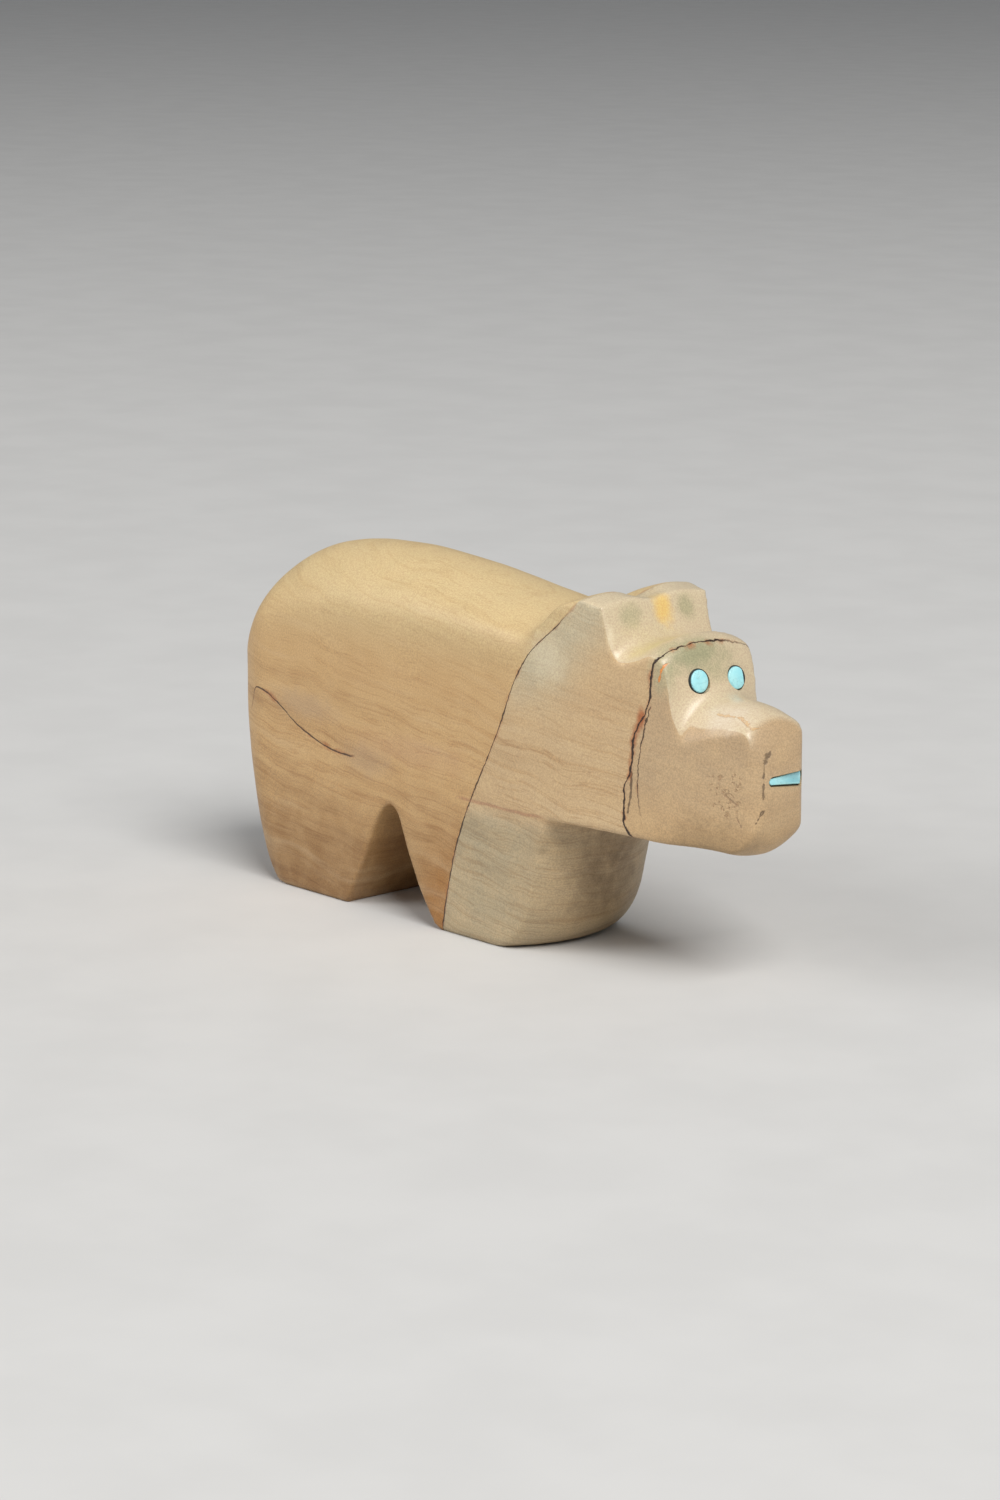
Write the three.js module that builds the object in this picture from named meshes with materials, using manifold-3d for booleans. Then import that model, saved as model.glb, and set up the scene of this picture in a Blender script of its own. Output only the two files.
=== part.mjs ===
// A carved stone bear with turquoise eyes and mouth. Millimetres, +Z up, the bear faces +X.
// Its right side is -Y. The feet stand on Z = 0 and Y = 0 is the plane the bear is symmetric about.
import * as THREE from 'three';
import Module from 'manifold-3d';
import { LoftGeometry } from 'three/addons/geometries/LoftGeometry.js';
import { mergeVertices } from 'three/addons/utils/BufferGeometryUtils.js';

const wasm = await Module();
wasm.setup();

// ---- driving dimensions ----
const RUMP_X = -44.4; // rearmost point of the rump
const MUZZLE_X = 49.5; // flat front of the muzzle
const BODY_HALF_WIDTH = 10;
const CHEST_X = 17.8; // foremost point of the chest, measured at the sole before its edge is rounded
const LEG_LEAN = 0.25; // the chest comes back this far for each millimetre down
const EAR_TOP_Z = 45.9;
const CHIN_Z = 17.5; // underside of the neck and head
const CUT_SPAN = 30; // length of a cut that passes right through
const FIT_GAP = 0.03; // clearance around each inlay and its cement

// ---- helpers ----
const point = (x, y) => new THREE.Vector2(x, y);

// 1 at the middle and smoothly down to nothing a little over twice the unit away.
const bell = (offset) => Math.exp(-(offset ** 2));

// Height of an outline drawn against X, read at one X.
function readAt(outline, x) {
  const next = outline.findIndex((p) => p.x >= x);
  if (next < 0) return outline[outline.length - 1].y;
  if (next === 0) return outline[0].y;
  const [before, after] = [outline[next - 1], outline[next]];
  return THREE.MathUtils.mapLinear(x, before.x, after.x, before.y, after.y);
}

function toSolid(geometry) {
  const plain = new THREE.BufferGeometry().copy(geometry);
  plain.deleteAttribute('normal');
  plain.deleteAttribute('uv');
  const merged = mergeVertices(plain, 1e-4);
  const vertProperties = new Float32Array(merged.attributes.position.array);
  const triVerts = new Uint32Array(merged.index.array);
  return new wasm.Manifold(new wasm.Mesh({ numProp: 3, vertProperties, triVerts }));
}

function extrude(shape, depth, curveSegments) {
  return new THREE.ExtrudeGeometry(shape, { depth, bevelEnabled: false, curveSegments });
}

// A side view drawn in X and Z, cut right across the body along Y.
function acrossBody(shape, curveSegments) {
  return toSolid(extrude(shape, CUT_SPAN, curveSegments).rotateX(Math.PI / 2).translate(0, CUT_SPAN / 2, 0));
}

// ---- outlines of the carving ----
// Crown: the line along the middle of the back, over the ears, brow and nose.
const crown = new THREE.Path();
crown.moveTo(RUMP_X, 22.5);
crown.splineThru([
  point(-42.6, 30.2), point(-39.8, 36.6), point(-36.2, 40.9), point(-31.0, 43.9), point(-24.0, 45.4),
  point(-14.0, 45.8), point(-3.0, 44.9), point(7.0, 43.3), point(14.0, 42.2), point(17.2, 42.8),
  point(20.8, 44.7), point(24.4, EAR_TOP_Z),
]);
crown.lineTo(27.5, 45.4);
crown.splineThru([point(28.6, 42.5), point(30.0, 40.8), point(32.0, 40.9), point(34.6, 41.7)]);
crown.splineThru([point(36.4, 41.0), point(37.5, 38.9), point(38.7, 36.0), point(40.4, 34.8), point(43.0, 34.7)]);
crown.splineThru([point(45.2, 34.4), point(47.0, 33.7)]);
crown.splineThru([point(48.5, 31.7), point(MUZZLE_X, 28.6)]);

// Shoulder: the line where the flat side turns into the rounded top.
const shoulder = new THREE.Path();
shoulder.moveTo(RUMP_X, 22.4);
shoulder.splineThru([
  point(-42.6, 27.0), point(-39.0, 31.6), point(-34.0, 35.3), point(-22.0, 38.2), point(-9.0, 39.1),
  point(8.0, 39.3), point(14.0, 38.6), point(17.0, 40.4), point(20.5, 43.8), point(24.4, 45.2),
]);
shoulder.lineTo(27.5, 44.6);
shoulder.splineThru([point(28.4, 41.5), point(29.5, 38.6), point(31.2, 38.3), point(34.6, 39.6)]);
shoulder.splineThru([point(36.2, 39.0), point(37.2, 36.8), point(38.0, 32.6), point(39.1, 29.8)]);
shoulder.splineThru([point(42.0, 30.6), point(45.2, 31.6), point(47.4, 32.0)]);
shoulder.splineThru([point(48.6, 30.2), point(MUZZLE_X, 27.0)]);

// Half width seen from above: a round rump, straight flanks and a head that tapers to the muzzle.
const plan = new THREE.Path();
plan.absarc(RUMP_X + BODY_HALF_WIDTH, 0, BODY_HALF_WIDTH, Math.PI, Math.PI / 2, true);
plan.lineTo(13.0, BODY_HALF_WIDTH);
plan.splineThru([
  point(22.0, 9.4), point(27.5, 8.7), point(35.5, 7.6), point(39.8, 6.7), point(47.9, 4.5),
]);
plan.lineTo(MUZZLE_X, 2.6);

// Heel: the underline from the rump down to the sole.
const heel = new THREE.Path();
heel.moveTo(RUMP_X, 22.3);
heel.splineThru([point(-42.9, 16.0), point(-41.2, 10.7), point(-38.9, 5.0), point(-36.7, 1.8), point(-33.0, 0)]);
heel.lineTo(MUZZLE_X, 0);

// ---- the block, lofted from rump to muzzle ----
const OUTLINE_STEPS = 24; // points read along each curve of an outline
const STATION_STEPS = 4; // sections for each span between two crown points
const SOLE_TUCK = 0.5; // the sides of the legs curve in this far at the sole
const TUCK_HEIGHT = 5;
const TUCK_STEPS = 5;
const ARCH_STEPS = 9;
const ARCH_POWER = 0.75; // 0.5 would be an ellipse, 1 a parabola
const RUMP_LENGTH = 14; // over this length the sections turn into ellipses
const PARTING = { x: 23.5, length: 4.5, width: 2.6, depth: 1.4 }; // the valley between the ears

const outlines = [crown, shoulder, plan, heel].map((path) => path.getPoints(OUTLINE_STEPS));

function crossSection(x) {
  const [crownZ, shoulderZ, halfWidth, soleZ] = outlines.map((outline) => readAt(outline, x));
  const rump = THREE.MathUtils.smoothstep(RUMP_X + RUMP_LENGTH - x, 0, RUMP_LENGTH);
  const tuck = THREE.MathUtils.lerp(SOLE_TUCK, 0.8 * halfWidth, rump);
  const tuckHeight = THREE.MathUtils.lerp(TUCK_HEIGHT, 0.8 * (shoulderZ - soleZ), rump);
  const archPower = THREE.MathUtils.lerp(ARCH_POWER, 0.5, rump);
  const parting = PARTING.depth * bell((x - PARTING.x) / PARTING.length);
  const side = [[0, soleZ]];
  for (let i = 0; i <= TUCK_STEPS; i++) {
    const angle = (i / TUCK_STEPS) * (Math.PI / 2);
    side.push([halfWidth - tuck * (1 - Math.sin(angle)), soleZ + tuckHeight * (1 - Math.cos(angle))]);
  }
  for (let i = 0; i < ARCH_STEPS; i++) {
    const share = Math.cos((i / ARCH_STEPS) * (Math.PI / 2));
    const rise = (crownZ - shoulderZ) * (1 - share ** 2) ** archPower;
    const dip = parting * bell((halfWidth * share) / PARTING.width);
    side.push([halfWidth * share, shoulderZ + rise - dip]);
  }
  const otherSide = side.slice(1).reverse().map(([y, z]) => [-y, z]);
  return [...side, [0, crownZ - parting], ...otherSide].map(([y, z]) => new THREE.Vector3(x, y, z));
}

const stations = crown.getPoints(STATION_STEPS).map((p) => p.x).slice(1);
const sections = [RUMP_X + FIT_GAP, ...stations].map(crossSection);
const block = toSolid(new LoftGeometry(sections, { capStart: true, capEnd: true }));

// ---- cuts that shape the block ----
// Belly: an upside-down V with a rounded tip between the front and the rear legs.
const belly = new THREE.Shape();
belly.moveTo(-20.4, -3.0);
belly.lineTo(-18.6, 0);
belly.quadraticCurveTo(-16.0, 3.6, -13.5, 9.6);
belly.bezierCurveTo(-11.8, 13.8, -9.6, 16.2, -7.9, 12.8);
belly.quadraticCurveTo(-5.2, 5.2, -0.9, 0);
belly.lineTo(1.0, -3.0);

// Throat: everything in front of the chest and below the chin. The muzzle's underside is rounded across.
const throat = new THREE.Path();
throat.moveTo(4, -3);
throat.lineTo(56, -3);
throat.lineTo(56, 27);
throat.lineTo(MUZZLE_X + 0.1, 27);
throat.bezierCurveTo(MUZZLE_X, 22.0, 48.6, 16.6, 44.8, 16.6);
throat.quadraticCurveTo(40.0, 16.8, 34.0, CHIN_Z - 0.1);
throat.lineTo(20, CHIN_Z);
throat.lineTo(4, CHIN_Z);
// Rise of the muzzle's underside, per square millimetre from the middle, on the right and on the left.
const MUZZLE_ROUNDING = { right: 0.035, left: 0.07 };

function throatSection(y) {
  const lift = (y < 0 ? MUZZLE_ROUNDING.right : MUZZLE_ROUNDING.left) * Math.min(Math.abs(y), 6) ** 2;
  return throat.getPoints(8).map((p) => {
    return new THREE.Vector3(p.x, y, p.y + lift * THREE.MathUtils.smoothstep(p.x, 34, 46));
  });
}

// Chest: a broad arc seen from above that leans forward as it rises, with a rounded edge at the sole.
// Its sides draw in towards the front, so a shallow step under the chin fades out along the flank.
const CHEST_RADIUS = 14.5;
const CHEST_CORNER_Y = 9.6;
const CHEST_TOP_Z = 20;
const TOE_RADIUS = 7;
const TOE_SETBACK = 4.6;

function chestSection(z) {
  const intoToe = Math.max(0, TOE_RADIUS - z) / TOE_RADIUS;
  const nose = CHEST_X + LEG_LEAN * z - TOE_SETBACK * (1 - Math.sqrt(1 - Math.min(1, intoToe) ** 2));
  const cornerAngle = Math.asin(CHEST_CORNER_Y / CHEST_RADIUS);
  const outline = new THREE.Path();
  outline.absarc(nose - CHEST_RADIUS, 0, CHEST_RADIUS, -cornerAngle, cornerAngle);
  outline.lineTo(-8, BODY_HALF_WIDTH + 0.6);
  outline.lineTo(-8, -BODY_HALF_WIDTH - 0.6);
  return outline.getPoints(10).map((p) => new THREE.Vector3(p.x, p.y, z));
}

const chestHeights = [-2, 0, 0.4, 1.0, 1.8, 2.8, 4.0, 5.4, TOE_RADIUS, CHEST_TOP_Z];
const chest = toSolid(new LoftGeometry(chestHeights.map(chestSection), { capStart: true, capEnd: true }));
const throatRows = [CUT_SPAN / 2, 6, 4, 2, 0, -2, -4, -6, -CUT_SPAN / 2];
const throatCut = toSolid(new LoftGeometry(throatRows.map(throatSection), { capStart: true, capEnd: true }));
const belowHead = throatCut.subtract(chest);

// ---- eyes ----
// Where each eye's middle meets the carved face. The two were drilled a little unevenly.
const EYE_RIGHT = new THREE.Vector3(38.2, -2.85, 36.7);
const EYE_LEFT = new THREE.Vector3(38.3, 3.15, 36.3);
const EYE_TILT = THREE.MathUtils.degToRad(12.5); // the face leans back
const EYE_HOLE_RADIUS = 1.52;
const EYE_HOLE_DEPTH = 2.2;
const EYE_STONE_RADIUS = 1.36;
const EYE_STONE_PROUD = 0.15; // stands out of the face
const EYE_STONE_DEPTH = 1.8;
const EYE_FLAT = 1.0; // the left eye stone is ground flat this far out from its middle
const EYE_SEGMENTS = 36;

// A round bar along the eye's axis, from one depth to another. Depths below 0 are outside the face.
function eyeBar(side, radius, shallow, deep) {
  const bar = new THREE.CylinderGeometry(radius, radius, deep - shallow, EYE_SEGMENTS);
  bar.translate(0, -(shallow + deep) / 2, 0).rotateZ(-Math.PI / 2).rotateY(-EYE_TILT);
  const middle = side < 0 ? EYE_RIGHT : EYE_LEFT;
  return toSolid(bar.translate(middle.x, middle.y, middle.z));
}

function eyeStone(side, gap) {
  const stone = eyeBar(side, EYE_STONE_RADIUS + gap, -EYE_STONE_PROUD, EYE_STONE_DEPTH + gap);
  if (side < 0) return stone;
  const ground = new THREE.BoxGeometry(8, 2, 8).translate(EYE_LEFT.x, EYE_LEFT.y + EYE_FLAT + gap + 1, EYE_LEFT.z);
  return stone.subtract(toSolid(ground));
}

function eyeCement(side) {
  const plug = eyeBar(side, EYE_HOLE_RADIUS - FIT_GAP, 0.15, EYE_HOLE_DEPTH - FIT_GAP);
  return plug.subtract(eyeStone(side, FIT_GAP));
}

// ---- mouth ----
const MOUTH_DEPTH = 2.2;
const MOUTH_RIGHT = { y: -1.95, z: 26.35, radius: 0.62 };
const MOUTH_LEFT = { y: 3.1, z: 26.05, radius: 1.0 };

// The slot seen from the front: rounded ends, wider to the left, where it runs onto the muzzle's chamfer.
function mouthBar(inset, back, front) {
  const [right, left] = [MOUTH_RIGHT, MOUTH_LEFT];
  const outline = new THREE.Shape();
  outline.absarc(right.y, right.z, right.radius - inset, Math.PI / 2, 1.5 * Math.PI);
  outline.absarc(left.y, left.z, left.radius - inset, -Math.PI / 2, Math.PI / 2);
  const bar = extrude(outline, front - back, 10).rotateY(Math.PI / 2).rotateX(Math.PI / 2);
  return toSolid(bar.translate(back, 0, 0));
}

const MOUTH_BACK_X = MUZZLE_X - MOUTH_DEPTH;
const MOUTH_RECESS = 0.2; // the turquoise sits this far behind the front of the muzzle
const MOUTH_RIM = 0.22; // cement showing around the turquoise
const mouthSlot = mouthBar(0, MOUTH_BACK_X, MUZZLE_X + 1);

// Ground to follow the muzzle, this far behind its surface.
const sunk = (bar, recess) => bar.intersect(block.translate([-recess, 0, 0]));
const mouthStone = (gap) => sunk(mouthBar(MOUTH_RIM - gap, MOUTH_BACK_X + 0.4 - gap, MUZZLE_X), MOUTH_RECESS);
const mouthFill = sunk(mouthBar(FIT_GAP, MOUTH_BACK_X + FIT_GAP, MUZZLE_X), 2 * MOUTH_RECESS);

// ---- finished pieces ----
const RIGHT = -1;
const LEFT = 1;
const shaped = block.subtract(acrossBody(belly, 10)).subtract(belowHead);
const eyeHoles = [RIGHT, LEFT].map((side) => eyeBar(side, EYE_HOLE_RADIUS, -2, EYE_HOLE_DEPTH));
const bear = [mouthSlot, ...eyeHoles].reduce((solid, hole) => solid.subtract(hole), shaped);

const material = (color, roughness) => new THREE.MeshStandardMaterial({ color, roughness, metalness: 0 });
const stoneMaterial = material(0xcdb184, 0.42);
const turquoiseMaterial = material(0x86dfe0, 0.3);
const cementMaterial = material(0x1c2a2a, 0.7);

// The outlines are drawn from the neck, and the group moves them so that X = 0 is halfway along the bear.
const root = new THREE.Group();
root.position.x = -(RUMP_X + MUZZLE_X) / 2;

function addPiece(name, solid, pieceMaterial) {
  const mesh = solid.getMesh();
  const geometry = new THREE.BufferGeometry();
  geometry.setAttribute('position', new THREE.BufferAttribute(mesh.vertProperties, 3));
  geometry.setIndex(new THREE.BufferAttribute(mesh.triVerts, 1));
  const piece = new THREE.Mesh(geometry, pieceMaterial);
  piece.name = name;
  root.add(piece);
}

addPiece('stone_bear', bear, stoneMaterial);
addPiece('eye_inlay_right', eyeStone(RIGHT, 0), turquoiseMaterial);
addPiece('eye_inlay_left', eyeStone(LEFT, 0), turquoiseMaterial);
addPiece('mouth_inlay', mouthStone(0), turquoiseMaterial);
addPiece('eye_cement_right', eyeCement(RIGHT), cementMaterial);
addPiece('eye_cement_left', eyeCement(LEFT), cementMaterial);
addPiece('mouth_cement', mouthFill.subtract(mouthStone(FIT_GAP)), cementMaterial);

export default root;
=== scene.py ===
"""A bear carved from one piece of veined stone, with turquoise eyes and mouth, on a pale studio floor."""

import math

import bmesh
import bpy
from mathutils import Matrix, Vector, noise


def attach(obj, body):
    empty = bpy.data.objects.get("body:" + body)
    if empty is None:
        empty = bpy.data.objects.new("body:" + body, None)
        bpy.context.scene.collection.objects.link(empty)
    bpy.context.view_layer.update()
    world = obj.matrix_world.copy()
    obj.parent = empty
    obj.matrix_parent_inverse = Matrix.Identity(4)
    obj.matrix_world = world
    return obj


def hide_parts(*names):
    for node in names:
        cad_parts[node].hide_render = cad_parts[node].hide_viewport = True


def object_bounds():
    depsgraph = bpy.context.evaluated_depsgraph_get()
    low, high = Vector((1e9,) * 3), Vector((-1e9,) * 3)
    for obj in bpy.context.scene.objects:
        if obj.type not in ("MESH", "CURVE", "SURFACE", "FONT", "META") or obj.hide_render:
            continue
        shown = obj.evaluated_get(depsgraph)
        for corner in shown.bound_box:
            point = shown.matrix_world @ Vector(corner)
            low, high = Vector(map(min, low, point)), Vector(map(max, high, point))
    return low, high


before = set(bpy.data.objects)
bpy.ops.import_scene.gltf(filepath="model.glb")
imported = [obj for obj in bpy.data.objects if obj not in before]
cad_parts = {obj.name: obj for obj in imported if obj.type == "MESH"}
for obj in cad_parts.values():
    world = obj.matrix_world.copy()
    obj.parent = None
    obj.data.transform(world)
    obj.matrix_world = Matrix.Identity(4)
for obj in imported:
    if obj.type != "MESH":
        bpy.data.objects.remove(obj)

bl_info = {
    "name": "Carved Stone Bear",
    "version": (1, 0, 0),
    "blender": (4, 5, 0),
    "location": "3D View > Sidebar > Bear",
    "description": "Carves a small stone bear and sets its turquoise eyes and mouth",
    "category": "Add Mesh",
}

CAD_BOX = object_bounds()
MM = 0.001  # one millimetre in metres

# ---- the carving's outlines, in millimetres ----
# The outlines are drawn from the neck. The bear's middle is this far in front of it.
RUMP_X = -44.4
MUZZLE_X = 49.5
MIDDLE_X = (RUMP_X + MUZZLE_X) / 2
BODY_HALF_WIDTH = 10.0
CHIN_Z = 17.5

# Each outline is a row of smooth runs. A run starts where the one before it ends.
# Crown: the line along the middle of the back, over the ears, brow and nose, in X and Z.
CROWN = [
    [
        (RUMP_X, 22.5), (-42.6, 30.2), (-39.8, 36.6), (-36.2, 40.9), (-31.0, 43.9), (-24.0, 45.4),
        (-14.0, 45.8), (-3.0, 44.9), (7.0, 43.3), (14.0, 42.2), (17.2, 42.8), (20.8, 44.7), (24.4, 45.9),
    ],
    [(24.4, 45.9), (27.5, 45.4)],
    [(27.5, 45.4), (28.6, 42.5), (30.0, 40.8), (32.0, 40.9), (34.6, 41.7)],
    [(34.6, 41.7), (36.4, 41.0), (37.5, 38.9), (38.7, 36.0), (40.4, 34.8), (43.0, 34.7)],
    [(43.0, 34.7), (45.2, 34.4), (47.0, 33.7)],
    [(47.0, 33.7), (48.5, 31.7), (MUZZLE_X, 28.6)],
]
# Shoulder: the line where the flat side turns into the rounded top.
SHOULDER = [
    [
        (RUMP_X, 22.4), (-42.6, 27.0), (-39.0, 31.6), (-34.0, 35.3), (-22.0, 38.2), (-9.0, 39.1), (8.0, 39.3),
        (14.0, 38.6), (17.0, 40.4), (20.5, 43.8), (24.4, 45.2),
    ],
    [(24.4, 45.2), (27.5, 44.6)],
    [(27.5, 44.6), (28.4, 41.5), (29.5, 38.6), (31.2, 38.3), (34.6, 39.6)],
    [(34.6, 39.6), (36.2, 39.0), (37.2, 36.8), (38.0, 32.6), (39.1, 29.8)],
    [(39.1, 29.8), (42.0, 30.6), (45.2, 31.6), (47.4, 32.0)],
    [(47.4, 32.0), (48.6, 30.2), (MUZZLE_X, 27.0)],
]
# Heel: the underline from the rump down to the sole.
HEEL = [
    [(RUMP_X, 22.3), (-42.9, 16.0), (-41.2, 10.7), (-38.9, 5.0), (-36.7, 1.8), (-33.0, 0.0)],
    [(-33.0, 0.0), (MUZZLE_X, 0.0)],
]
# Half width, in X and Y, in front of the round rump.
HEAD_PLAN = [
    [(13.0, BODY_HALF_WIDTH), (22.0, 9.4), (27.5, 8.7), (35.5, 7.6), (39.8, 6.7), (47.9, 4.5)],
    [(47.9, 4.5), (MUZZLE_X, 2.6)],
]

RUN_STEPS = 16  # points drawn for each span of a run
SOLE_TUCK = 0.5  # the sides of the legs curve in this far at the sole
TUCK_HEIGHT = 5.0
TUCK_STEPS = 10
ARCH_STEPS = 28
ARCH_POWER = 0.75  # 0.5 would be an ellipse, 1 a parabola
RUMP_LENGTH = 14.0  # over this length the sections turn into ellipses
PARTING_X = 23.5  # the valley between the ears
PARTING_LENGTH = 4.5
PARTING_WIDTH = 2.6
PARTING_DEPTH = 1.4

CHEST_X = 17.8
CHEST_RADIUS = 14.5
CHEST_CORNER_Y = 9.6
LEG_LEAN = 0.25
TOE_RADIUS = 7.0
TOE_SETBACK = 4.6
ROUNDING_RIGHT = 0.035  # rise of the head's underside, per square millimetre from the middle
ROUNDING_LEFT = 0.07

EYE_RIGHT = (38.2, -2.85, 36.7)
EYE_LEFT = (38.3, 3.15, 36.3)
EYE_TILT = math.radians(12.5)
EYE_HOLE_RADIUS = 1.52
EYE_HOLE_DEPTH = 2.2
EYE_STONE_RADIUS = 1.36
EYE_STONE_DEPTH = 1.8
EYE_FLAT = 1.0  # the left eye stone is ground flat this far out from its middle

MOUTH_BACK_X = 47.3
MOUTH_RIGHT = (-1.95, 26.35, 0.62)  # middle in Y and Z, and radius, of the slot's narrow end
MOUTH_LEFT = (3.1, 26.05, 1.0)
MOUTH_RECESS = 0.2
MOUTH_RIM = 0.22
MOUTH_BED = 0.4  # thickness of the cement behind the mouth's stone
FIT_GAP = 0.03  # clearance around each inlay and its cement

# ---- marks on the stone, in millimetres from the finished bear's own origin ----
# Where a vein sheet stands in X, by height, drawn with a stop only where it bends.
SHOULDER_VEIN = [(0.0, -2.5), (13.0, 1.0), (27.0, 8.0), (37.0, 13.0), (42.0, 18.5), (50.0, 26.0)]
HEAD_VEIN = [
    (17.0, 30.0), (19.5, 28.5), (23.0, 28.5), (26.0, 29.5), (30.0, 30.0), (34.0, 32.0), (38.0, 32.5),
    (41.0, 33.5), (45.0, 34.0),
]
BRANCH_VEIN = [(18.0, 31.5), (24.0, 30.5), (29.0, 31.0), (34.5, 32.5)]
# Height of the rump's hooked vein, by X.
HOOK_VEIN = [(-40.5, 22.5), (-38.5, 25.5), (-35.0, 24.5), (-29.5, 21.5), (-20.0, 19.5), (-16.5, 20.5)]
# Lowest and highest value in a vein's drawing, with room to spare.
SHOULDER_VEIN_SPAN = (-5.0, 50.0)
HEAD_VEIN_SPAN = (15.0, 46.0)
HOOK_VEIN_SPAN = (-42.0, 30.0)

CREASE_Z = 17.75  # height of the painted shade line along the crease above the front leg

# A small chip on the chest's right corner.
CHIP_MIDDLE = (15.4, -9.3, 12.9)
CHIP_RADIUS = 0.75
CHIP_DEPTH = 0.35


# ---- settings ----
def colour_setting(name, description, value):
    return bpy.props.FloatVectorProperty(
        name=name, description=description, subtype="COLOR", size=3, min=0.0, max=1.0, default=value
    )


def length_setting(name, description, value):
    return bpy.props.FloatProperty(
        name=name, description=description, unit="LENGTH", precision=5, default=value
    )


class BearShape(bpy.types.PropertyGroup):
    """How finely the stone is worked."""

    grain_size: length_setting("Grain size", "Length of the finest facet left by polishing", 0.00036)
    hand_work: length_setting("Hand work", "How far the hand-worked faces wander from true", 0.00007)
    edge_softening: bpy.props.IntProperty(
        name="Edge softening", description="Passes of polishing over the edges", default=2, min=0, max=20
    )
    back_softening: bpy.props.IntProperty(
        name="Back softening", description="Further passes along the back", default=90, min=0, max=300
    )
    under_edge_softening: bpy.props.IntProperty(
        name="Under-edge softening", description="Further passes under the neck and head",
        default=14, min=0, max=300,
    )
    eye_dome: length_setting("Eye dome", "How far the eye stones stand out of the face", 0.00014)


class StoneColours(bpy.types.PropertyGroup):
    """Colours of the veined stone."""

    rear: colour_setting("Rear", "Warm stone behind the shoulder vein", (0.57, 0.37, 0.175))
    rear_low: colour_setting("Rear, low", "Browner stone low on the hind legs", (0.27, 0.145, 0.052))
    back: colour_setting("Back", "Honey-coloured stone along the back", (0.62, 0.475, 0.26))
    leg_orange: colour_setting("Orange leg", "Stone just behind the shoulder vein", (0.36, 0.165, 0.04))
    shoulder: colour_setting("Shoulder", "Greyer stone between the two veins", (0.56, 0.40, 0.23))
    shoulder_grey: colour_setting("Shoulder grey", "Grey-green beds in the shoulder", (0.52, 0.455, 0.32))
    head: colour_setting("Head", "Beige stone of the head", (0.475, 0.345, 0.21))
    cream: colour_setting("Cream", "Polished pale stone of the scooped faces", (0.635, 0.53, 0.375))
    green: colour_setting("Green", "Grey-green cast on the brow and ears", (0.40, 0.38, 0.24))
    amber: colour_setting("Amber", "Amber patch between the ears", (0.78, 0.53, 0.18))
    vein: colour_setting("Vein", "Dark mineral in the veins", (0.030, 0.014, 0.008))
    rust: colour_setting("Rust", "Iron stain beside the veins", (0.36, 0.12, 0.04))


class InlayColours(bpy.types.PropertyGroup):
    """Colours of the inlays."""

    turquoise: colour_setting("Turquoise", "Main colour of the eyes and mouth", (0.37, 0.80, 0.88))
    turquoise_pale: colour_setting("Pale turquoise", "Paler clouds in the turquoise", (0.45, 0.86, 0.91))
    cement: colour_setting("Cement", "Dark cement around the inlays", (0.010, 0.016, 0.018))


class StageSettings(bpy.types.PropertyGroup):
    """Floor, lights and camera."""

    floor: colour_setting("Floor", "Colour of the floor", (0.64, 0.64, 0.635))
    floor_radius: length_setting("Floor radius", "How far the floor reaches", 9.0)
    key_power: bpy.props.FloatProperty(
        name="Key light", description="Power of the overhead softbox", subtype="POWER", default=41.0
    )
    fill_power: bpy.props.FloatProperty(
        name="Fill light", description="Power of the softbox beside the flank", subtype="POWER", default=17.0
    )
    lens: bpy.props.FloatProperty(
        name="Lens", description="Focal length", subtype="DISTANCE_CAMERA", default=100.0
    )


# ---- drawing ----
def smooth_step(value, low, high):
    share = min(1.0, max(0.0, (value - low) / (high - low)))
    return share * share * (3 - 2 * share)


def blend(a, b, share):
    return a + (b - a) * share


def bell(offset):
    return math.exp(-offset * offset)


def draw(runs):
    """Points along an outline, with a smooth curve through the points of each run."""
    drawn = [runs[0][0]]
    for run in runs:
        for span in range(len(run) - 1):
            p0, p1 = run[max(span - 1, 0)], run[span]
            p2, p3 = run[span + 1], run[min(span + 2, len(run) - 1)]
            for step in range(1, RUN_STEPS + 1):
                t = step / RUN_STEPS
                drawn.append(tuple(curve_value(p0[i], p1[i], p2[i], p3[i], t) for i in (0, 1)))
    return drawn


def curve_value(a, b, c, d, t):
    """A smooth curve's value, t of the way from b to c."""
    leave, arrive = (c - a) / 2, (d - b) / 2
    cubic = 2 * b - 2 * c + leave + arrive
    square = -3 * b + 3 * c - 2 * leave - arrive
    return cubic * t**3 + square * t**2 + leave * t + b


def read_at(drawn, x):
    """Height of a drawn outline at one X."""
    for (x0, z0), (x1, z1) in zip(drawn, drawn[1:]):
        if x <= x1:
            return blend(z0, z1, max(0.0, (x - x0) / (x1 - x0))) if x1 > x0 else z1
    return drawn[-1][1]


def bezier(points, steps):
    """Points along a curve with two or three handles, without its start."""
    result = []
    for step in range(1, steps + 1):
        level = [Vector(p) for p in points]
        while len(level) > 1:
            level = [a.lerp(b, step / steps) for a, b in zip(level, level[1:])]
        result.append(tuple(level[0]))
    return result


def place(x, y, z):
    """A point of the drawing, in metres on the finished bear."""
    return Vector((x - MIDDLE_X, y, z)) * MM


# ---- meshes ----
def new_piece(name, mesh):
    piece = bpy.data.objects.new(name, mesh)
    bpy.context.scene.collection.objects.link(piece)
    return piece


def finish_mesh(name, bm):
    bmesh.ops.recalc_face_normals(bm, faces=bm.faces)
    mesh = bpy.data.meshes.new(name)
    bm.to_mesh(mesh)
    bm.free()
    return mesh


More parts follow.
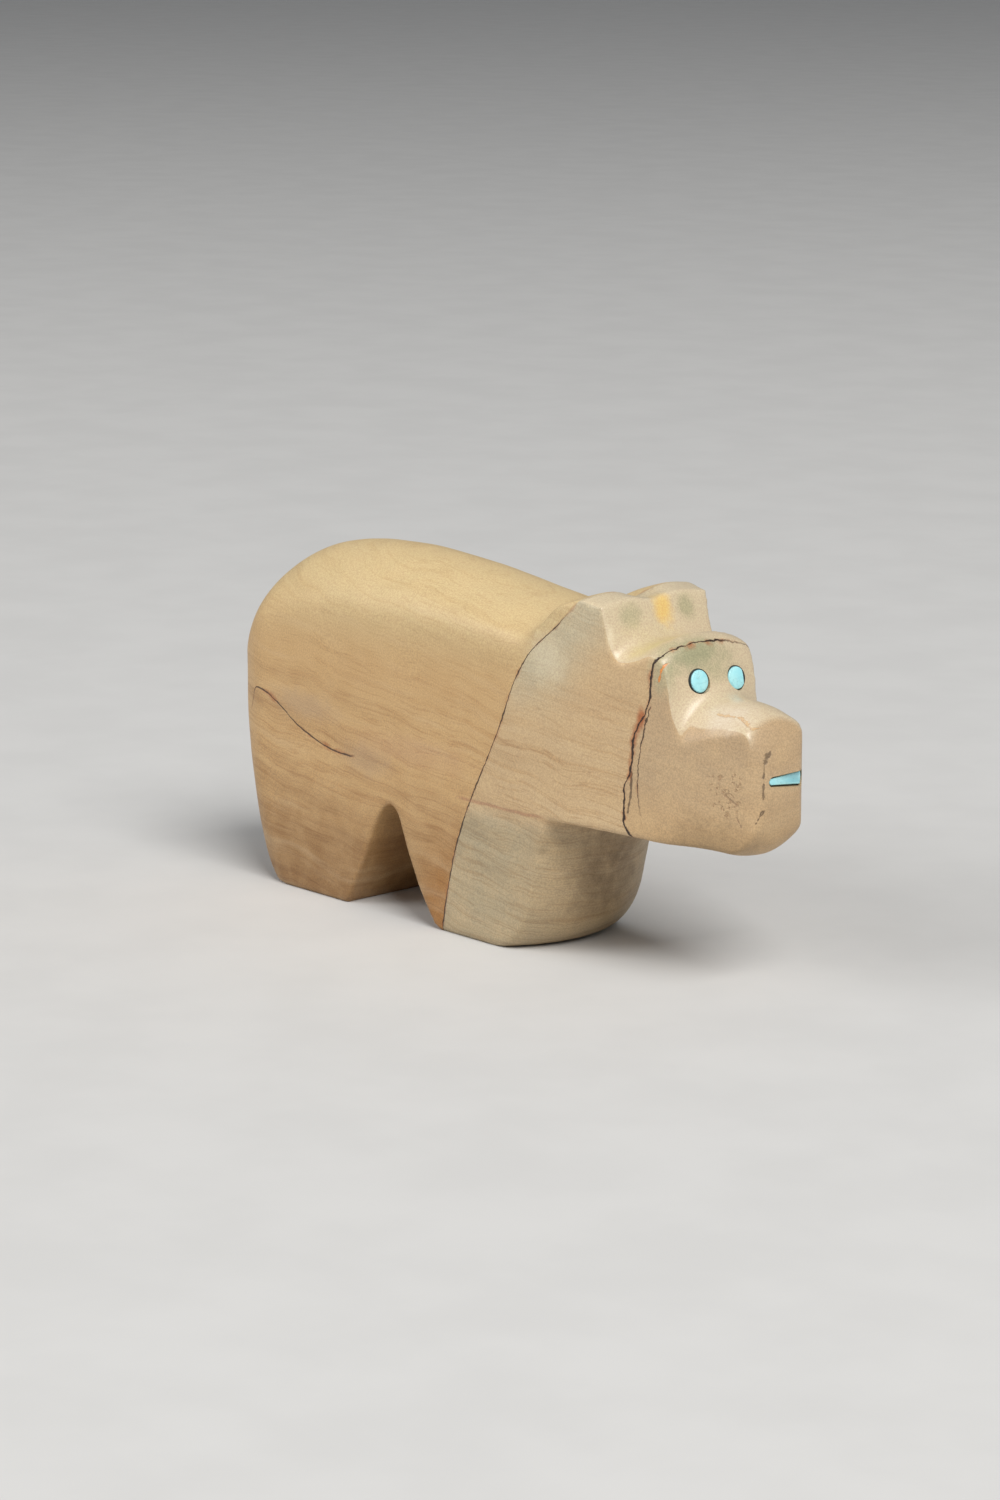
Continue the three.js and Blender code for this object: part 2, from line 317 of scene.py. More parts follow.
def loft(name, rings, closed=False):
    """A solid skinned over rings of equally many points. Its ends are capped unless it closes on itself."""
    bm = bmesh.new()
    rows = [[bm.verts.new(p) for p in ring] for ring in rings]
    pairs = list(zip(rows, rows[1:]))
    if closed:
        pairs.append((rows[-1], rows[0]))
    for row, next_row in pairs:
        for i in range(len(row)):
            j = (i + 1) % len(row)
            bm.faces.new((row[i], row[j], next_row[j], next_row[i]))
    if not closed:
        bm.faces.new(rows[0])
        bm.faces.new(rows[-1])
    return new_piece(name, finish_mesh(name, bm))


def apply_modifiers(piece):
    depsgraph = bpy.context.evaluated_depsgraph_get()
    old = piece.data
    mesh = bpy.data.meshes.new_from_object(piece.evaluated_get(depsgraph))
    piece.modifiers.clear()
    piece.data = mesh
    bpy.data.meshes.remove(old)
    mesh.name = piece.name


def cut(piece, tool):
    """Cuts the tool out of the piece, and throws the tool away."""
    modifier = piece.modifiers.new("cut", "BOOLEAN")
    modifier.operation = "DIFFERENCE"
    modifier.solver = "MANIFOLD"
    modifier.object = tool
    apply_modifiers(piece)
    bpy.data.meshes.remove(tool.data)


def shade(piece, sharp_angle):
    piece.data.shade_smooth()
    piece.data.set_sharp_from_angle(angle=math.radians(sharp_angle))


def hand_in(piece, material, node):
    piece.data.materials.clear()
    piece.data.materials.append(material)
    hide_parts(node)
    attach(piece, "root")


# ---- the body ----
def body_section(x, crown, shoulder, heel, head_plan):
    crown_z, shoulder_z, sole_z = read_at(crown, x), read_at(shoulder, x), read_at(heel, x)
    from_rump = x - RUMP_X
    if from_rump < BODY_HALF_WIDTH:
        half_width = math.sqrt(BODY_HALF_WIDTH**2 - (BODY_HALF_WIDTH - from_rump) ** 2)
    else:
        half_width = read_at(head_plan, max(x, head_plan[0][0]))
    rump = smooth_step(RUMP_LENGTH - from_rump, 0, RUMP_LENGTH)
    tuck = blend(SOLE_TUCK, 0.8 * half_width, rump)
    tuck_height = blend(TUCK_HEIGHT, 0.8 * (shoulder_z - sole_z), rump)
    power = blend(ARCH_POWER, 0.5, rump)
    parting = PARTING_DEPTH * bell((x - PARTING_X) / PARTING_LENGTH)
    side = []
    for i in range(TUCK_STEPS + 1):
        angle = i / TUCK_STEPS * math.pi / 2
        side.append((half_width - tuck * (1 - math.sin(angle)), sole_z + tuck_height * (1 - math.cos(angle))))
    for i in range(ARCH_STEPS):
        share = math.cos(i / ARCH_STEPS * math.pi / 2)
        rise = (crown_z - shoulder_z) * (1 - share**2) ** power
        dip = parting * bell(half_width * share / PARTING_WIDTH)
        side.append((half_width * share, shoulder_z + rise - dip))
    ring = [(0, sole_z), *side, (0, crown_z - parting), *[(-y, z) for y, z in reversed(side)]]
    return [place(x, y, z) for y, z in ring]


def make_block():
    crown, shoulder, heel, head_plan = [draw(runs) for runs in (CROWN, SHOULDER, HEEL, HEAD_PLAN)]
    stations = [RUMP_X + 0.03 + 8 * (1 - math.cos(i / 30 * math.pi / 2)) for i in range(30)]
    stations += [x for x, _ in crown[::2] if x > stations[-1] + 0.2]
    return loft("bear_carving", [body_section(x, crown, shoulder, heel, head_plan) for x in stations])


def make_belly_cut():
    """An upside-down V with a rounded tip, between the front and the rear legs."""
    outline = [(-20.4, -3.0), (-18.6, 0.0)]
    outline += bezier([(-18.6, 0.0), (-16.0, 3.6), (-13.5, 9.6)], 16)
    outline += bezier([(-13.5, 9.6), (-11.8, 13.8), (-9.6, 16.2), (-7.9, 12.8)], 24)
    outline += bezier([(-7.9, 12.8), (-5.2, 5.2), (-0.9, 0.0)], 16)
    outline += [(1.0, -3.0)]
    return loft("belly_cut", [[place(x, y, z) for x, z in outline] for y in (-15, 15)])


def make_throat_cut():
    """Everything in front of the chest and below the chin."""
    outline = [(4, -3), (56, -3), (56, 27), (MUZZLE_X + 0.1, 27)]
    outline += bezier([(MUZZLE_X + 0.1, 27), (MUZZLE_X, 22.0), (48.6, 16.6), (44.8, 16.6)], 24)
    outline += bezier([(44.8, 16.6), (40.0, 16.8), (34.0, CHIN_Z - 0.1)], 16)
    outline += [(20, CHIN_Z), (4, CHIN_Z)]
    rings = []
    for y in [-15] + [i * 0.5 - 6 for i in range(25)] + [15]:
        lift = (ROUNDING_RIGHT if y < 0 else ROUNDING_LEFT) * min(abs(y), 6) ** 2
        rings.append([place(x, y, z + lift * smooth_step(x, 34, 46)) for x, z in outline])
    return loft("throat_cut", rings)


def make_chest():
    """A broad arc seen from above that leans forward as it rises, with a rounded edge at the sole."""
    corner = math.asin(CHEST_CORNER_Y / CHEST_RADIUS)
    heights = [-2.0] + [TOE_RADIUS * (1 - math.cos(i / 14 * math.pi / 2)) for i in range(15)] + [20.0]
    rings = []
    for z in heights:
        into_toe = min(1.0, max(0.0, TOE_RADIUS - z) / TOE_RADIUS)
        nose = CHEST_X + LEG_LEAN * z - TOE_SETBACK * (1 - math.sqrt(1 - into_toe**2))
        arc = []
        for i in range(41):
            angle = corner * (i / 20 - 1)
            arc.append((nose - CHEST_RADIUS + CHEST_RADIUS * math.cos(angle), CHEST_RADIUS * math.sin(angle)))
        arc += [(-8, BODY_HALF_WIDTH + 0.6), (-8, -BODY_HALF_WIDTH - 0.6)]
        rings.append([place(x, y, z) for x, y in arc])
    return loft("chest", rings)


def wear(piece, depth):
    """Moves the surface in and out a little, as hand work leaves it. The soles stay flat."""
    mesh = piece.data
    low, high = CAD_BOX
    chip = Vector(CHIP_MIDDLE)
    moved = []
    for vertex in mesh.vertices:
        p = vertex.co / MM
        slow = noise.noise(p * 0.11 + Vector((3.1, 0.7, 5.3)))
        quick = noise.noise(p * 0.34 + Vector((8.2, 2.9, 1.4)))
        above_sole = smooth_step(p.z, 0.3, 2.5)
        shift = depth * (1.2 * slow + 0.45 * quick - 0.25) * above_sole
        shift -= CHIP_DEPTH * MM * bell((p - chip).length / CHIP_RADIUS)
        moved.append(vertex.co + vertex.normal * shift)
    for vertex, target in zip(mesh.vertices, moved):
        vertex.co = [min(max(target[i], low[i]), high[i]) for i in range(3)]


def eye_frame(side):
    """Placing of an eye: its own Z points out of the face, and its own Y to the bear's left."""
    out = Vector((math.cos(EYE_TILT), 0, math.sin(EYE_TILT)))
    across = Vector((0, 1, 0))
    down = across.cross(out)
    frame_matrix = Matrix((down, across, out)).transposed().to_4x4()
    frame_matrix.translation = place(*(EYE_RIGHT if side < 0 else EYE_LEFT))
    return frame_matrix


def turned(name, profile, matrix, flat=None, segments=72, closed=False):
    """A round piece turned from a profile of radius and height in millimetres. flat grinds its left side."""
    rings = []
    for radius, height in profile:
        ring = []
        for i in range(segments):
            angle = 2 * math.pi * i / segments
            across = radius * math.sin(angle)
            if flat is not None:
                across = min(across, flat)
            ring.append(matrix @ (Vector((radius * math.cos(angle), across, height)) * MM))
        rings.append(ring)
    return loft(name, rings, closed)


def mouth_ring(x, inset, behind=None):
    """The mouth slot's outline: rounded ends, wider to the left. It may keep some way behind the muzzle."""
    ring = []
    for (y, z, radius), start in ((MOUTH_RIGHT, math.pi / 2), (MOUTH_LEFT, -math.pi / 2)):
        for i in range(17):
            angle = start + math.pi * i / 16
            ring.append((y + (radius - inset) * math.cos(angle), z + (radius - inset) * math.sin(angle)))
    if behind is None:
        return [place(x, y, z) for y, z in ring]
    return [place(min(x, muzzle_front(y)) - behind, y, z) for y, z in ring]


def muzzle_front(y):
    """X of the muzzle's front, chamfered at both sides."""
    (x0, y0), (x1, y1) = HEAD_PLAN[-1]
    return x1 - max(0.0, abs(y) - y1) * (x1 - x0) / (y0 - y1)


def back_zone(p):
    return smooth_step(p.z, 29, 34) * smooth_step(-p.x, -15, -9)


def under_edge_zone(p):
    return smooth_step(p.x, 11, 15) * bell((p.z - 17.5) / 1.6) * smooth_step(abs(p.y), 4, 6)


def soften(piece, zone, passes):
    """Further polishing where zone, given a point in millimetres, is more than nothing."""
    group = piece.vertex_groups.new(name="zone")
    for vertex in piece.data.vertices:
        weight = zone(vertex.co / MM)
        if weight > 0.01:
            group.add([vertex.index], weight, "REPLACE")
    smoothing = piece.modifiers.new("soften", "SMOOTH")
    smoothing.factor = 0.5
    smoothing.iterations = passes
    smoothing.vertex_group = group.name
    apply_modifiers(piece)
    piece.vertex_groups.clear()


class BEAR_OT_body(bpy.types.Operator):
    """Carve the bear from one piece of stone"""

    bl_idname = "bear.body"
    bl_label = "Body"

    def execute(self, context):
        shape = context.scene.bear_shape
        bear = make_block()
        cut(bear, make_belly_cut())
        below_head = make_throat_cut()
        cut(below_head, make_chest())
        cut(bear, below_head)
        remesh = bear.modifiers.new("even mesh", "REMESH")
        remesh.mode = "VOXEL"
        remesh.voxel_size = shape.grain_size
        polish = bear.modifiers.new("polish", "SMOOTH")
        polish.factor = 0.5
        polish.iterations = shape.edge_softening
        apply_modifiers(bear)
        soften(bear, back_zone, shape.back_softening)
        soften(bear, under_edge_zone, shape.under_edge_softening)
        wear(bear, shape.hand_work)
        for side in (-1, 1):
            walls = [(EYE_HOLE_RADIUS, 2), (EYE_HOLE_RADIUS, -EYE_HOLE_DEPTH)]
            cut(bear, turned("eye_hole", walls, eye_frame(side)))
        cut(bear, loft("mouth_slot", [mouth_ring(MOUTH_BACK_X, 0), mouth_ring(MUZZLE_X + 1, 0)]))
        shade(bear, 50)
        hand_in(bear, stone_material(context.scene.stone_colours), "stone_bear")
        return {"FINISHED"}


class BEAR_OT_eyes(bpy.types.Operator):
    """Set the turquoise eyes in dark cement"""

    bl_idname = "bear.eyes"
    bl_label = "Eyes"

    def execute(self, context):
        colours = context.scene.inlay_colours
        dome = context.scene.bear_shape.eye_dome / MM
        turquoise, cement = turquoise_material(colours), cement_material(colours)
        for side, name in ((-1, "right"), (1, "left")):
            flat = EYE_FLAT if side > 0 else None
            matrix = eye_frame(side)
            rim = EYE_STONE_RADIUS
            profile = [(rim, -EYE_STONE_DEPTH), (rim, -0.12), (rim - 0.02, -0.04), (rim - 0.07, 0.02)]
            for i in range(1, 12):
                share = i / 12
                profile.append(((rim - 0.07) * (1 - share), 0.02 + (dome - 0.02) * (1 - (1 - share) ** 3)))
            profile.append((0.02, dome))
            stone = turned("eye_turquoise_" + name, profile, matrix, flat)
            shade(stone, 40)
            hand_in(stone, turquoise, "eye_inlay_" + name)

            inner, outer = rim + FIT_GAP, EYE_HOLE_RADIUS - FIT_GAP
            bottom, floor = FIT_GAP - EYE_HOLE_DEPTH, -EYE_STONE_DEPTH - FIT_GAP
            lip = [(outer, -0.14), ((inner + outer) / 2, -0.08), (inner, -0.12)]
            cup = [(0.05, bottom), (outer, bottom), *lip, (inner, floor), (0.05, floor)]
            ring = turned("eye_setting_" + name, cup, matrix, closed=True)
            if flat is not None:
                fill_flat(ring, matrix, inner, flat + FIT_GAP)
            shade(ring, 40)
            hand_in(ring, cement, "eye_cement_" + name)
        return {"FINISHED"}


def fill_flat(ring, matrix, inner, flat):
    """Brings a setting's inner wall up to the stone's ground side."""
    back = matrix.inverted()
    for vertex in ring.data.vertices:
        local = (back @ vertex.co) / MM
        if math.hypot(local.x, local.y) < inner + 0.01 and local.y > flat:
            local.y = flat
            vertex.co = matrix @ (local * MM)


def inlay_bar(name, back, inset, recess):
    """A bar in the mouth slot whose face is ground to follow the muzzle, with a rounded rim."""
    rings = [mouth_ring(back, inset)]
    for step, round_off in ((0.12, 0.0), (0.05, 0.02), (0.015, 0.06), (0.0, 0.12), (0.0, 0.3)):
        rings.append(mouth_ring(MUZZLE_X, inset + round_off, recess + step))
    return loft(name, rings)


class BEAR_OT_mouth(bpy.types.Operator):
    """Set the turquoise mouth in dark cement"""

    bl_idname = "bear.mouth"
    bl_label = "Mouth"

    def execute(self, context):
        colours = context.scene.inlay_colours
        rim = MOUTH_RIM
        stone = inlay_bar("mouth_turquoise", MOUTH_BACK_X + MOUTH_BED, rim, MOUTH_RECESS)
        shade(stone, 40)
        hand_in(stone, turquoise_material(colours), "mouth_inlay")

        setting = inlay_bar("mouth_setting", MOUTH_BACK_X + FIT_GAP, FIT_GAP, 2 * MOUTH_RECESS)
        bed_x, bed_inset = MOUTH_BACK_X + MOUTH_BED - FIT_GAP, rim - FIT_GAP
        cut(setting, loft("mouth_bed", [mouth_ring(bed_x, bed_inset), mouth_ring(MUZZLE_X, bed_inset)]))
        shade(setting, 40)
        hand_in(setting, cement_material(colours), "mouth_cement")
        return {"FINISHED"}


# ---- shader helpers ----
class Wiring:
    """Adds nodes to one node tree and joins them."""

    def __init__(self, tree):
        self.tree = tree

    def add(self, kind, inputs=None, **settings):
        node = self.tree.nodes.new(kind)
        for name, value in settings.items():
            setattr(node, name, value)
        for key, value in (inputs or {}).items():
            self.feed(node.inputs[key], value)
        return node

    def feed(self, socket, value):
        if isinstance(value, bpy.types.NodeSocket):
            self.tree.links.new(value, socket)
        else:
            socket.default_value = value

    def math(self, operation, *values):
        return self.add("ShaderNodeMath", dict(enumerate(values)), operation=operation).outputs[0]

    def times(self, a, b):
        return self.math("MULTIPLY", a, b)

    def vector(self, operation, *values):
        node = self.add("ShaderNodeVectorMath", dict(enumerate(values)), operation=operation)
        return node.outputs["Value" if operation in ("LENGTH", "DOT_PRODUCT") else "Vector"]

    def scale(self, vector, factor):
        node = self.add("ShaderNodeVectorMath", {0: vector, "Scale": factor}, operation="SCALE")
        return node.outputs["Vector"]

    def fade(self, value, start, end):
        """0 at start, 1 at end and smooth between."""
        inputs = {"Value": value, "From Min": start, "From Max": end}
        return self.add("ShaderNodeMapRange", inputs, interpolation_type="SMOOTHSTEP").outputs["Result"]

    def between(self, value, start, end):
        inputs = {"Value": value, "To Min": start, "To Max": end}
        return self.add("ShaderNodeMapRange", inputs).outputs["Result"]

    def mix(self, share, a, b, mode="MIX"):
        a, b = [c if isinstance(c, bpy.types.NodeSocket) else (*c, 1.0) for c in (a, b)]
        node = self.add("ShaderNodeMix", {0: share, 6: a, 7: b}, data_type="RGBA", blend_type=mode)
        return node.outputs[2]

    def noise(self, vector, scale, detail=2.0, roughness=0.5):
        inputs = {"Vector": vector, "Scale": scale, "Detail": detail, "Roughness": roughness}
        return self.add("ShaderNodeTexNoise", inputs).outputs[0]

    def group(self, tree, **inputs):
        node = self.add("ShaderNodeGroup", node_tree=tree)
        for name, value in inputs.items():
            self.feed(node.inputs[name.replace("_", " ")], value)
        return node

    def curve(self, value, points, low, high):
        """A height read from a drawn line of points. low and high bound both columns."""
        reach = high - low
        place_on_line = self.math("DIVIDE", self.math("SUBTRACT", value, low), reach)
        node = self.add("ShaderNodeFloatCurve", {"Value": place_on_line})
        line = node.mapping.curves[0]
        scaled = [((a - low) / reach, (b - low) / reach) for a, b in points]
        line.points[0].location = scaled[0]
        line.points[1].location = scaled[-1]
        for location in scaled[1:-1]:
            line.points.new(*location)
        for curve_point in line.points:
            curve_point.handle_type = "AUTO_CLAMPED"
        node.mapping.update()
        return self.math("ADD", self.times(node.outputs[0], reach), low)


def shader_group(name, inputs, outputs):
    """A new node group, its wiring, its inputs and its output node."""
    tree = bpy.data.node_groups.new(name, "ShaderNodeTree")
    for socket, (kind, value) in inputs.items():
        item = tree.interface.new_socket(socket, in_out="INPUT", socket_type="NodeSocket" + kind)
        if value is not None:
            item.default_value = value
    for socket, kind in outputs.items():
        tree.interface.new_socket(socket, in_out="OUTPUT", socket_type="NodeSocket" + kind)
    given = tree.nodes.new("NodeGroupInput").outputs
    out = tree.nodes.new("NodeGroupOutput").inputs
    return tree, Wiring(tree), given, out


def group_once(name, build):
    return bpy.data.node_groups.get(name) or build(name)


def build_grain(name):
    """Fine speckle and slow clouds, used by every material."""
    tree, w, given, out = shader_group(
        name,
        {"Point": ("Vector", None), "Size": ("Float", 1.0)},
        {"Speckle": "Float", "Clouds": "Float", "Height": "Float"},
    )
    size = w.add("ShaderNodeCombineXYZ", {i: given["Size"] for i in range(3)}).outputs[0]
    p = w.vector("DIVIDE", given["Point"], size)
    speckle = w.noise(p, 5.0, 3.0, 0.6)
    clouds = w.noise(p, 0.32, 3.0, 0.55)
    fine = w.noise(p, 2.1, 4.0, 0.6)
    w.feed(out["Speckle"], speckle)
    w.feed(out["Clouds"], clouds)
    w.feed(out["Height"], w.math("ADD", w.times(speckle, 0.45), w.times(fine, 0.55)))
    return tree


def build_bedding(name):
    """Thin wavy beds of stone that dip towards the head."""
    tree, w, given, out = shader_group(
        name,
        {"Point": ("Vector", None), "Dip": ("Float", 0.14), "Wave": ("Float", 1.6)},
        {"Broad": "Float", "Thin": "Float", "Lines": "Float"},
    )
    x, y, z = w.add("ShaderNodeSeparateXYZ", {0: given["Point"]}).outputs
    slow = w.math("SUBTRACT", w.noise(given["Point"], 0.09, 1.0), 0.5)
    quick = w.math("SUBTRACT", w.noise(given["Point"], 0.34, 2.0), 0.5)
    wander = w.math("ADD", w.times(slow, 3.2), w.times(quick, 0.75))
    bend = w.times(wander, given["Wave"])
    bed = w.math("ADD", w.math("ADD", z, w.times(x, given["Dip"])), bend)
    along = w.times(x, 0.035)
    across = w.times(y, 0.05)
    for label, pitch, detail in (("Broad", 0.33, 2.0), ("Thin", 1.3, 3.0)):
        height = w.times(bed, pitch)
        position = w.add("ShaderNodeCombineXYZ", {0: along, 1: across, 2: height}).outputs[0]
        w.feed(out[label], w.noise(position, 1.0, detail, 0.6))
    line_along, line_height = w.times(x, 0.06), w.times(bed, 1.9)
    position = w.add("ShaderNodeCombineXYZ", {0: line_along, 1: across, 2: line_height}).outputs[0]
    ridges = w.math("ABSOLUTE", w.math("SUBTRACT", w.noise(position, 1.0, 1.0), 0.5))
    w.feed(out["Lines"], w.fade(ridges, 0.045, 0.0))
    return tree


def build_vein(name):
    """A dark line of uneven width with a stain on both sides. Offset is the distance from its middle."""
    tree, w, given, out = shader_group(
        name,
        {
            "Offset": ("Float", 0.0), "Point": ("Vector", None), "Width": ("Float", 0.2),
            "Stain Width": ("Float", 1.0), "Wander": ("Float", 0.4),
        },
        {"Line": "Float", "Stain": "Float"},
    )
    shake = w.math("SUBTRACT", w.noise(given["Point"], 1.1, 3.0, 0.6), 0.5)
    distance = w.math("ABSOLUTE", w.math("ADD", given["Offset"], w.times(shake, given["Wander"])))
    swell = w.between(w.fade(w.noise(given["Point"], 0.45, 3.0, 0.65), 0.3, 0.72), 0.5, 1.7)
    width = w.times(given["Width"], swell)
    w.feed(out["Line"], w.fade(distance, width, w.times(width, 0.35)))
    patch = w.fade(w.noise(w.vector("ADD", given["Point"], (7.0, 3.0, 1.0)), 0.3, 3.0, 0.6), 0.38, 0.68)
    spread = w.times(given["Stain Width"], w.math("ADD", patch, 0.15))
    w.feed(out["Stain"], w.times(w.fade(distance, spread, 0.0), patch))
    return tree


def build_spot(name):
    """A soft-edged patch around one point. Size is its reach along each axis."""
    tree, w, given, out = shader_group(
        name,
        {
            "Point": ("Vector", None), "Middle": ("Vector", (0.0, 0.0, 0.0)),
            "Size": ("Vector", (1.0, 1.0, 1.0)), "Ragged": ("Float", 0.4), "Softness": ("Float", 0.8),
        },
        {"Mask": "Float"},
    )
    from_middle = w.vector("SUBTRACT", given["Point"], given["Middle"])
    reach = w.vector("LENGTH", w.vector("DIVIDE", from_middle, given["Size"]))
    wobble = w.math("SUBTRACT", w.noise(given["Point"], 0.55, 3.0, 0.6), 0.5)
    shake = w.times(wobble, given["Ragged"])
    edge = w.math("ADD", reach, w.times(shake, 2.0))
    w.feed(out["Mask"], w.fade(edge, 1.0, w.math("SUBTRACT", 1.0, given["Softness"])))
    return tree


def build_scratch(name):
    """Distance from the straight line between two points."""
    tree, w, given, out = shader_group(
        name,
        {"Point": ("Vector", None), "Start": ("Vector", (0.0, 0.0, 0.0)), "End": ("Vector", (1.0, 0.0, 0.0))},
        {"Distance": "Float"},
    )
    from_start = w.vector("SUBTRACT", given["Point"], given["Start"])
    line = w.vector("SUBTRACT", given["End"], given["Start"])
    share = w.math("DIVIDE", w.vector("DOT_PRODUCT", from_start, line), w.vector("DOT_PRODUCT", line, line))
    held = w.add("ShaderNodeClamp", {"Value": share}).outputs[0]
    w.feed(out["Distance"], w.vector("LENGTH", w.vector("SUBTRACT", from_start, w.scale(line, held))))
    return tree


def start_material(name):
    """A material, its wiring, its shader and the surface point in millimetres."""
    material = bpy.data.materials.new(name)
    material.use_nodes = True
    w = Wiring(material.node_tree)
    shader = material.node_tree.nodes["Principled BSDF"]
    point = w.scale(w.add("ShaderNodeTexCoord").outputs["Object"], 1 / MM)
    return material, w, shader, point


def add_bump(w, shader, height, depth):
    """Relief of this depth, in millimetres, where height goes from 0 to 1."""
    bump = w.add("ShaderNodeBump", {"Height": height, "Strength": 1.0, "Distance": depth * MM})
    w.feed(shader.inputs["Normal"], bump.outputs["Normal"])


# ---- the stone ----
def line_distance(w, point, stops):
    """Distance from a line drawn through some points."""
    scratch = group_once("Scratch", build_scratch)
    distance = None
    for start, end in zip(stops, stops[1:]):
        piece = w.group(scratch, Point=point, Start=start, End=end).outputs["Distance"]
        distance = piece if distance is None else w.math("MINIMUM", distance, piece)
    return distance


def add_patches(w, point, colour, patches):
    """Lays soft patches of colour over the stone."""
    spot = group_once("Soft patch", build_spot)
    for middle, size, strength, tint in patches:
        mask = w.group(spot, Point=point, Middle=middle, Size=size).outputs["Mask"]
        colour = w.mix(w.times(mask, strength), colour, tint)
    return colour


def stone_material(colours):
    material, w, shader, point = start_material("Veined stone")
    x, y, z = w.add("ShaderNodeSeparateXYZ", {0: point}).outputs
    nx, ny, nz = w.add("ShaderNodeSeparateXYZ", {0: w.add("ShaderNodeNewGeometry").outputs["Normal"]}).outputs
    grain = w.group(group_once("Fine grain", build_grain), Point=point, Size=1.0).outputs
    beds = w.group(group_once("Bedding", build_bedding), Point=point, Dip=0.14, Wave=1.0).outputs

    # Where the three zones of the stone meet.
    shoulder_offset = w.math("SUBTRACT", x, w.curve(z, SHOULDER_VEIN, *SHOULDER_VEIN_SPAN))
    skew = w.times(w.math("ADD", y, 7.65), 0.05)
    head_offset = w.math("SUBTRACT", w.math("SUBTRACT", x, w.curve(z, HEAD_VEIN, *HEAD_VEIN_SPAN)), skew)
    behind_shoulder = w.fade(shoulder_offset, 0.12, -0.12)
    before_head = w.fade(head_offset, -0.1, 0.1)

    # Warm rear stone: honey along the back, browner and more strongly banded low down.
    rear = w.mix(w.fade(z, 31.0, 42.0), colours.rear, colours.back)
    rear = w.mix(w.times(w.fade(z, 20.0, 2.0), 0.95), rear, colours.rear_low)
    near_vein = w.times(w.fade(shoulder_offset, -9.0, -1.0), w.fade(z, 17.0, 3.0))
    rear = w.mix(w.times(near_vein, 0.85), rear, colours.leg_orange)

    # Greyer shoulder and front legs.
    high_grey = w.times(w.fade(z, 28.0, 37.0), w.fade(shoulder_offset, 13.0, 2.0))
    low_grey = w.times(w.fade(z, 18.5, 15.0), w.fade(shoulder_offset, 24.0, 8.0))
    grey_share = w.math("MAXIMUM", high_grey, w.times(low_grey, 0.75))
    shoulder = w.mix(grey_share, colours.shoulder, colours.shoulder_grey)
    # Painted shade: the front legs darker below the chin.
    shoulder = w.mix(w.fade(z, 17.5, 14.5), shoulder, w.mix(1.0, shoulder, (0.80, 0.80, 0.78), "MULTIPLY"))

    head = w.mix(w.times(w.fade(z, 27.0, 17.0), 0.55), colours.head, colours.rear)
    colour = w.mix(behind_shoulder, w.mix(before_head, shoulder, head), rear)

    # Bedding, strongest low on the flank.
    low = w.between(w.fade(z, 36.0, 24.0), 0.45, 1.0)
    calm = w.between(before_head, 1.0, 0.35)
    strength = w.times(low, calm)
    broad = w.times(w.fade(beds["Broad"], 0.48, 0.68), w.times(strength, 0.45))
    colour = w.mix(broad, colour, w.mix(1.0, colour, (0.72, 0.66, 0.60), "MULTIPLY"))
    pale = w.times(w.fade(beds["Broad"], 0.47, 0.28), w.times(strength, 0.22))
    colour = w.mix(pale, colour, (0.68, 0.55, 0.37))
    thin = w.times(w.fade(beds["Thin"], 0.5, 0.72), w.times(strength, 0.46))
    colour = w.mix(thin, colour, w.mix(1.0, colour, (0.74, 0.62, 0.50), "MULTIPLY"))
    lines = w.times(beds["Lines"], w.times(strength, 0.36))
    colour = w.mix(lines, colour, w.mix(1.0, colour, (0.60, 0.46, 0.34), "MULTIPLY"))
    clouds = w.fade(grain["Clouds"], 0.35, 0.68)
    colour = w.mix(w.times(clouds, 0.16), colour, (0.70, 0.50, 0.27))

    mauve, pink = (0.36, 0.27, 0.20), (0.50, 0.30, 0.18)
    # Painted shade: dark browns for the notch between the legs and for the chest, neck and jaw under the
    # head.
    notch_painted_shade, under_head_painted_shade = (0.22, 0.10, 0.035), (0.17, 0.112, 0.055)
    colour = add_patches(w, point, colour, [
        ((-29.0, -10.0, 24.6), (9.5, 6.0, 2.6), 0.35, mauve),
        ((-17.0, -10.0, 19.5), (7.0, 6.0, 3.0), 0.30, mauve),
        ((-8.0, -10.0, 22.0), (15.0, 6.0, 3.0), 0.30, pink),
        ((-8.0, 10.0, 24.0), (18.0, 6.0, 4.0), 0.30, pink),
        # painted shade inside the notch between the front and rear legs
        ((-15.5, 0.0, 3.0), (4.5, 12.0, 12.0), 0.45, notch_painted_shade),
        # painted shade on the chest, under the neck and under the jaw, where the head overhangs them
        ((21.5, 0.0, 8.5), (8.0, 11.0, 13.0), 0.90, under_head_painted_shade),
        ((25.0, -6.0, 16.6), (13.0, 6.0, 1.6), 0.60, under_head_painted_shade),
        ((40.0, -5.0, 18.0), (10.0, 7.0, 5.0), 0.45, under_head_painted_shade),
        # painted light on the right side of the neck, where the back meets the neck
        ((16.5, -8.5, 37.5), (4.5, 4.0, 4.5), 0.60, (0.70, 0.61, 0.44)),
    ])

